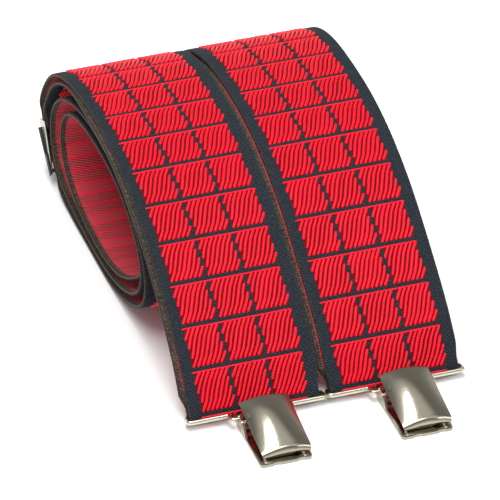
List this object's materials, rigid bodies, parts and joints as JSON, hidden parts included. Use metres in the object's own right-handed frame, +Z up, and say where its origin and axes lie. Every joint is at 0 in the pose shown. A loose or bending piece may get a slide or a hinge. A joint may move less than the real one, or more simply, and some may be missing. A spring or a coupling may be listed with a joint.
{
  "type": "suspenders",
  "caption": "Clip suspenders with wide ribbed straps, coiled into a roll: sprung metal clips on wire loops, lever adjusters, and a leather patch that joins the rear strap.",
  "frame": {"origin": "on the ground, in the middle of the object's box", "axes": "+X along the roll's axis to the right, +Y from the front clips towards the roll, +Z up"},
  "size_m": [0.1046, 0.2098, 0.0628],
  "materials": {
    "front_webbing": "ribbed woven webbing, red cords on navy",
    "rear_webbing": "ribbed woven webbing, red cords on navy",
    "leather": "smooth dark brown leather",
    "thread": "waxed thread",
    "nickel": "polished nickel",
    "steel": "bright spring steel",
    "lever_paint": "satin black"
  },
  "bodies": {
    "suspenders": {"left_strap": "front_webbing", "right_strap": "front_webbing", "rear_strap": "rear_webbing", "patch_outer": "leather", "patch_inner": "leather", "patch_stitches": "thread", "strap_stitches": "thread", "left_adjuster_frame": "nickel", "right_adjuster_frame": "nickel"},
    "left_loop": {"left_wire_loop": "nickel"},
    "left_clip": {"left_clip_base": "nickel", "left_clip_pin": "steel", "left_clip_spring": "steel"},
    "left_cover": {"left_clip_cover": "nickel"},
    "right_loop": {"right_wire_loop": "nickel"},
    "right_clip": {"right_clip_base": "nickel", "right_clip_pin": "steel", "right_clip_spring": "steel"},
    "right_cover": {"right_clip_cover": "nickel"},
    "rear_loop": {"rear_wire_loop": "nickel"},
    "rear_clip": {"rear_clip_base": "nickel", "rear_clip_pin": "steel", "rear_clip_spring": "steel"},
    "rear_cover": {"rear_clip_cover": "nickel"},
    "left_lever": {"left_adjuster_lever": "lever_paint"},
    "right_lever": {"right_adjuster_lever": "lever_paint"}
  },
  "joints": [
    {"name": "left_loop_swing", "type": "hinge", "parent": "suspenders", "child": "left_loop", "pos_m": [-0.0262, -0.07148, 0.00286], "axis": [1, 0, 0], "range_deg": [-30, 30]},
    {"name": "left_clip_swing", "type": "hinge", "parent": "left_loop", "child": "left_clip", "pos_m": [-0.0262, -0.07921, 0.00394], "axis": [1, 0, 0], "range_deg": [-12, 35]},
    {"name": "left_cover_open", "type": "hinge", "parent": "left_clip", "child": "left_cover", "pos_m": [-0.0262, -0.08298, 0.00461], "axis": [-1, 0, 0], "range_deg": [0, 9], "stiffness_Nm_per_rad": 0.15, "springref_deg": -14.32, "deforming": ["left_clip_spring"]},
    {"name": "right_loop_swing", "type": "hinge", "parent": "suspenders", "child": "right_loop", "pos_m": [0.0262, -0.07148, 0.00286], "axis": [1, 0, 0], "range_deg": [-30, 30]},
    {"name": "right_clip_swing", "type": "hinge", "parent": "right_loop", "child": "right_clip", "pos_m": [0.0262, -0.07921, 0.00394], "axis": [1, 0, 0], "range_deg": [-12, 35]},
    {"name": "right_cover_open", "type": "hinge", "parent": "right_clip", "child": "right_cover", "pos_m": [0.0262, -0.08298, 0.00461], "axis": [-1, 0, 0], "range_deg": [0, 9], "stiffness_Nm_per_rad": 0.15, "springref_deg": -14.32, "deforming": ["right_clip_spring"]},
    {"name": "rear_loop_swing", "type": "hinge", "parent": "suspenders", "child": "rear_loop", "pos_m": [0, 0.037, 0.0304], "axis": [-1, 0, 0], "range_deg": [-6, 6]},
    {"name": "rear_clip_swing", "type": "hinge", "parent": "rear_loop", "child": "rear_clip", "pos_m": [0, 0.02927, 0.02931], "axis": [-1, 0, 0], "range_deg": [-4, 4]},
    {"name": "rear_cover_open", "type": "hinge", "parent": "rear_clip", "child": "rear_cover", "pos_m": [0, 0.0255, 0.02865], "axis": [1, 0, 0], "range_deg": [0, 9], "stiffness_Nm_per_rad": 0.15, "springref_deg": -14.32, "deforming": ["rear_clip_spring"]},
    {"name": "left_lever_open", "type": "hinge", "parent": "suspenders", "child": "left_lever", "pos_m": [-0.0257, 0.09137, 0.00556], "axis": [-1, 0, 0], "range_deg": [0, 90]},
    {"name": "right_lever_open", "type": "hinge", "parent": "suspenders", "child": "right_lever", "pos_m": [0.0257, 0.09137, 0.00556], "axis": [-1, 0, 0], "range_deg": [0, 90]}
  ]
}
